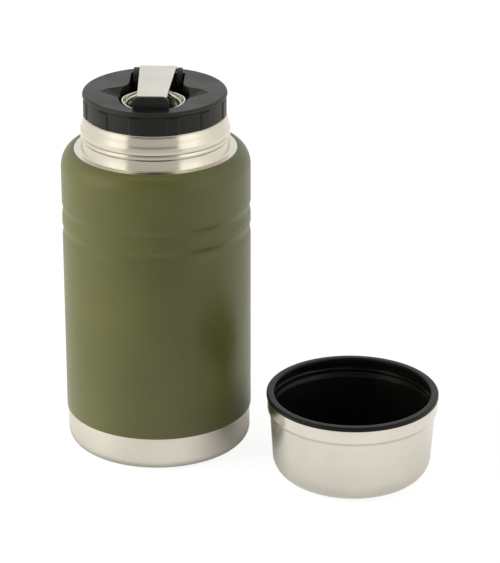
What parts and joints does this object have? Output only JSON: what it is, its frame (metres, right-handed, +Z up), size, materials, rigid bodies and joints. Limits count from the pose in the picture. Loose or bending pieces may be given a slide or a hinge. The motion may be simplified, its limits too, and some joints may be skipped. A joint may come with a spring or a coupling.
{
  "type": "insulated_food_jar",
  "caption": "Green coated vacuum food jar with a screw stopper that stows a folding spoon, and its steel cup lid standing beside it",
  "frame": {"origin": "centre of the jar's foot on the table", "axes": "+Z up; +Y from the jar's centre towards the spoon's hinge; +X to the right, on the side where the cup lid stands"},
  "size_m": [0.2005, 0.1388, 0.2035],
  "materials": {
    "green_coat": "dull green textured coat",
    "brushed_steel": "brushed stainless steel",
    "polished_steel": "smooth bright stainless steel",
    "black_plastic": "fine matt black moulding",
    "silicone": "soft grey silicone",
    "foam": "closed-cell foam",
    "foil": "crinkled thin foil",
    "getter_metal": "dull pressed metal"
  },
  "bodies": {
    "jar": {"outer_shell": "green_coat", "base_cup": "brushed_steel", "neck_collar": "brushed_steel", "inner_flask": "brushed_steel", "foil_wrap": "foil", "getter": "getter_metal", "bottom_plate": "brushed_steel", "vacuum_seal_bead": "getter_metal"},
    "foam_block": {"stopper_foam": "foam"},
    "plug_end": {"plug_base": "black_plastic", "stopper_gasket": "silicone"},
    "stopper": {"stopper_cover": "black_plastic", "stopper_body": "black_plastic", "spoon_tab": "black_plastic"},
    "spoon": {"spoon_bowl": "polished_steel"},
    "handle": {"spoon_handle": "polished_steel", "spoon_hinge_pin": "polished_steel"},
    "cup": {"cup_shell": "brushed_steel", "cup_liner": "black_plastic"}
  },
  "joints": [
    {"name": "stopper_lift", "type": "slide", "parent": "jar", "child": "foam_block", "axis": [0, 0, 1], "range_m": [0, 0.06]},
    {"name": "stopper_rise", "type": "slide", "parent": "foam_block", "child": "plug_end", "axis": [0, 0, 1], "range_m": [0, 0.003]},
    {"name": "stopper_turn", "type": "hinge", "parent": "plug_end", "child": "stopper", "pos_m": [0, 0, 0.19], "axis": [0, 0, 1], "range_deg": [0, 270]},
    {"name": "spoon_lift", "type": "slide", "parent": "stopper", "child": "spoon", "axis": [0, 0, 1], "range_m": [0, 0.05]},
    {"name": "spoon_fold", "type": "hinge", "parent": "spoon", "child": "handle", "pos_m": [0, 0.028, 0.1994], "axis": [-1, 0, 0], "range_deg": [0, 180]},
    {"name": "cup_lift", "type": "slide", "parent": "jar", "child": "cup", "axis": [0, 0, 1], "range_m": [0, 0.1]}
  ],
  "couplings": [
    {"joint": "stopper_rise", "follows": "stopper_turn", "m_per_rad": 0.0006366}
  ]
}
